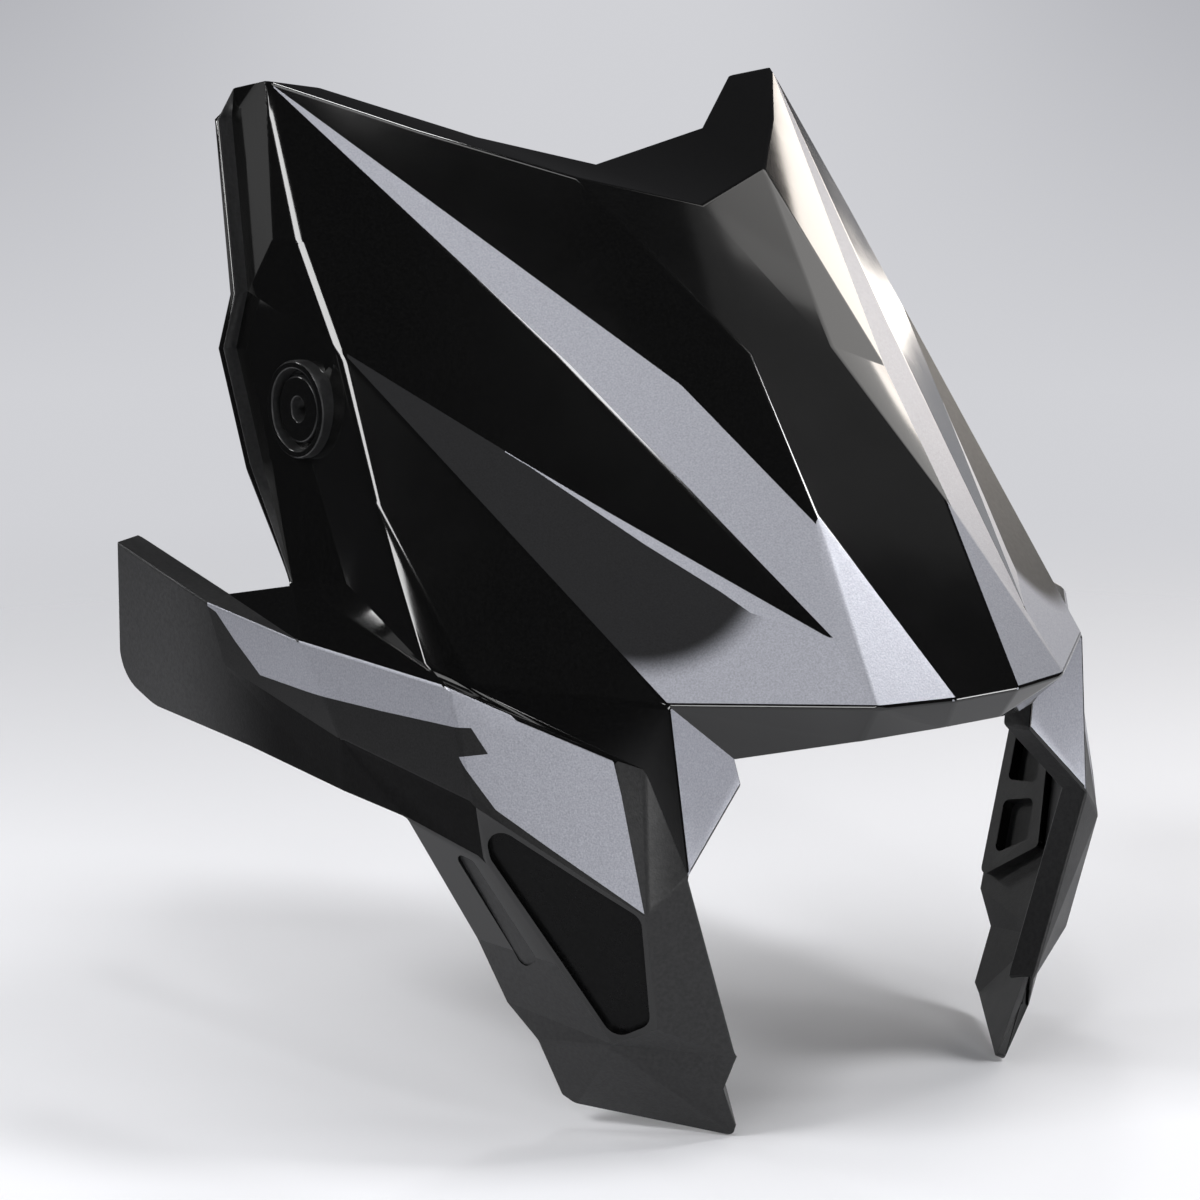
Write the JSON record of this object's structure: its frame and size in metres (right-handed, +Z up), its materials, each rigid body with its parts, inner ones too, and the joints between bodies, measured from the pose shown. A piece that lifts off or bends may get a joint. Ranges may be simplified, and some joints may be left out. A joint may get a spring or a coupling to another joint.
{
  "type": "front cover panel",
  "caption": "Faceted moulded front cover panel of a motorbike: a raked mask over a headlight opening, with horns, swept side wings, legs and screw seats in its side walls.",
  "frame": {"origin": "on the mid plane, level with the tips of the legs and halfway between the front and the rear of the panel", "axes": "+X across the panel, to the right as seen from the front; -Y to the front, where the nose is; +Z up, towards the horns"},
  "size_m": [0.342, 0.2846, 0.3595],
  "materials": {
    "gloss_black": "gloss"
  },
  "bodies": {
    "root": {"front_cover": "gloss_black"}
  },
  "joints": []
}
